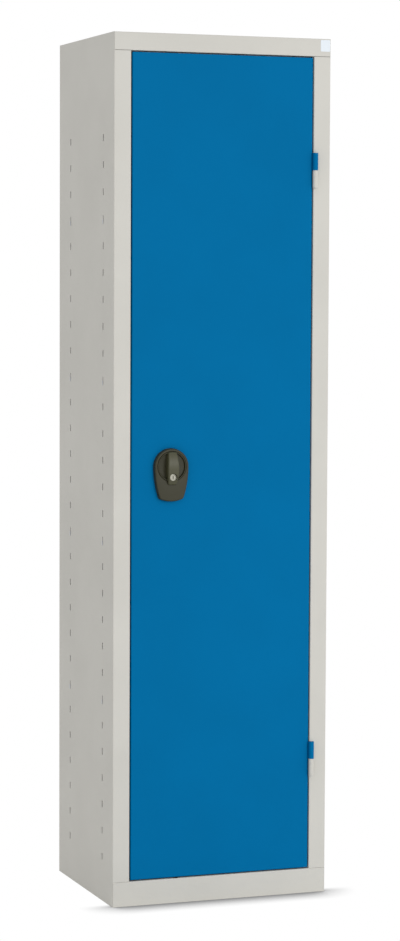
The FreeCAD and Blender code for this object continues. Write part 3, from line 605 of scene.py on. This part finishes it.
# Blank label at the right end of the top rail
label = {"wide": 23.0, "tall": 26.0, "thick": 0.25, "roll": 0.1, "cornerPower": 14,
         "fromRight": 13.0, "fromTop": 15.5}


def makeLabel(look):
    # a flat closed film with rounded corners, rolled over its edge
    topLow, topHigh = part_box("top_panel")
    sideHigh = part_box("right_side_panel")[1]
    centreX = sideHigh.x - look["fromRight"] * mm
    centreZ = topHigh.z - look["fromTop"] * mm
    a = fullTurn()
    outline = superCircle(a, look["wide"], look["tall"], look["cornerPower"])
    rows = [(0, 0), (outline, 0), (outline, look["thick"] - look["roll"]),
            (outline - look["roll"], look["thick"]), (outline / 2, look["thick"]), (0, look["thick"])]
    grid = ringGrid(a, rows, (centreX, centreZ), topLow.y)
    newPiece("blank_label", grid, ringQuads(grid), labelFilm, "carcass")


makeLabel(label)
print("label made")


# Floor, light and camera
stage = {"span": 30.0, "colour": "#f2f2f2", "contact": 0.08, "atWall": 0.5, "deepest": 0.22,
         "ahead": 0.03}   # metres and shares


def seenRays(tree):
    # 1 for what the camera sees, straight or in a mirror or glass, and 0 for the light that falls on things
    rays = addNode(tree, "LightPath", {})
    seen = rays.outputs["Is Camera Ray"]
    for kind in ("Is Glossy Ray", "Is Transmission Ray"):
        seen = addNode(tree, "Math", {0: seen, 1: rays.outputs[kind]}, operation="MAXIMUM").outputs[0]
    return seen


def makeFloor(look):
    # a pale matt floor that the camera sees as plain white, with a painted contact shadow along the cabinet's
    #     front: the white glow is dimmed the closer a point of the floor is to what stands on it, as it sees
    #         less of the room
    span = look["span"] / 2
    mesh = bpy.data.meshes.new("studio_floor")
    corners = [(-span, -span, 0), (span, -span, 0), (span, span, 0), (-span, span, 0)]
    mesh.from_pydata(corners, [], [(0, 1, 2, 3)])
    floor = bpy.data.objects.new("studio_floor", mesh)
    bpy.context.scene.collection.objects.link(floor)
    made, tree, place = newMaterial("paleStudioFloor")
    near = addNode(tree, "AmbientOcclusion", {"Distance": look["contact"]}, samples=16)
    paintedShadow = addNode(tree, "MapRange", {
        "Value": near.outputs["AO"], "From Min": look["atWall"], "From Max": 1.0,
        "To Min": look["deepest"], "To Max": 1.0})
    # the painted shadow is kept to the floor ahead of the door's face
    depth = addNode(tree, "SeparateXYZ", {"Vector": place}).outputs["Y"]
    ahead = addNode(tree, "MapRange", {"Value": depth, "From Min": doorFace,
                                       "From Max": doorFace + look["ahead"], "To Min": 1.0, "To Max": 0.0})
    level = addNode(tree, "Mix", {"Factor": ahead.outputs["Result"], "A": 1.0, "B": paintedShadow.outputs["Result"]})
    glow = addNode(tree, "Emission", {"Color": (1.0, 1.0, 1.0, 1.0), "Strength": level.outputs["Result"]})
    matt = addNode(tree, "BsdfDiffuse", {"Color": linear(look["colour"])})
    both = addNode(tree, "MixShader", {0: seenRays(tree), 1: matt.outputs[0], 2: glow.outputs[0]})
    addNode(tree, "OutputMaterial", {"Surface": both.outputs[0]})
    mesh.materials.append(made)


room = {"level": 0.735}


def makeWorld(look):
    # an even white room; the camera and mirrors see it as plain white
    world = bpy.data.worlds.new("white room")
    bpy.context.scene.world = world
    world.use_nodes = True
    tree = world.node_tree
    tree.nodes.clear()
    level = addNode(tree, "MapRange", {"Value": seenRays(tree), "To Min": look["level"], "To Max": 1.0})
    white = addNode(tree, "Background", {"Color": (1.0, 1.0, 1.0, 1.0), "Strength": level.outputs["Result"]})
    addNode(tree, "OutputWorld", {"Surface": white.outputs[0]})


# lamps, in metres and watts
keyLamp = {"place": (1.6, -5.4, 2.6), "aim": (0.0, -0.2, 1.0), "size": 2.4, "power": 82.0}
fillLamp = {"place": (0.7, -1.8, 0.3), "aim": (0.0, -0.2, 0.1), "size": 0.8, "power": 2.2}


def makeLight(name, look):
    # a round soft lamp, turned to what it aims at
    lamp = bpy.data.lights.new(name, "AREA")
    lamp.shape = "DISK"
    lamp.size, lamp.energy = look["size"], look["power"]
    made = bpy.data.objects.new(name, lamp)
    made.location = look["place"]
    made.rotation_euler = (Vector(look["aim"]) - Vector(look["place"])).to_track_quat("-Z", "Y").to_euler()
    bpy.context.scene.collection.objects.link(made)


view = {"place": (-2.1475, -5.9423, 1.4095), "yaw": 20.05, "pitch": -4.026, "roll": 0.25,
        "lens": 104.39, "sensor": 36.0,   # the lens's own millimetres; the rest is metres and degrees
        "nearest": 0.1, "furthest": 100.0}


def makeCamera(look):
    # stands where the photograph was taken: yaw from +Y towards +X, then pitch,
    # then roll about the line of sight
    yaw, pitch, roll = (math.radians(look[k]) for k in ("yaw", "pitch", "roll"))
    forward = Vector((math.sin(yaw) * math.cos(pitch), math.cos(yaw) * math.cos(pitch), math.sin(pitch)))
    level = Vector((math.cos(yaw), -math.sin(yaw), 0.0))
    upright = level.cross(forward)
    right = math.cos(roll) * level + math.sin(roll) * upright
    up = math.cos(roll) * upright - math.sin(roll) * level
    lens = bpy.data.cameras.new("photograph view")
    lens.lens, lens.sensor_width, lens.sensor_fit = look["lens"], look["sensor"], "AUTO"
    lens.clip_start, lens.clip_end = look["nearest"], look["furthest"]
    made = bpy.data.objects.new("photograph view", lens)
    turned = Matrix((right, up, -forward)).transposed().to_4x4()
    made.matrix_world = Matrix.Translation(look["place"]) @ turned
    bpy.context.scene.collection.objects.link(made)
    bpy.context.scene.camera = made


makeFloor(stage)
makeWorld(room)
makeLight("key light", keyLamp)
makeLight("low fill", fillLamp)
makeCamera(view)
bpy.context.scene.view_settings.view_transform = "Standard"
print("floor, light and camera set")
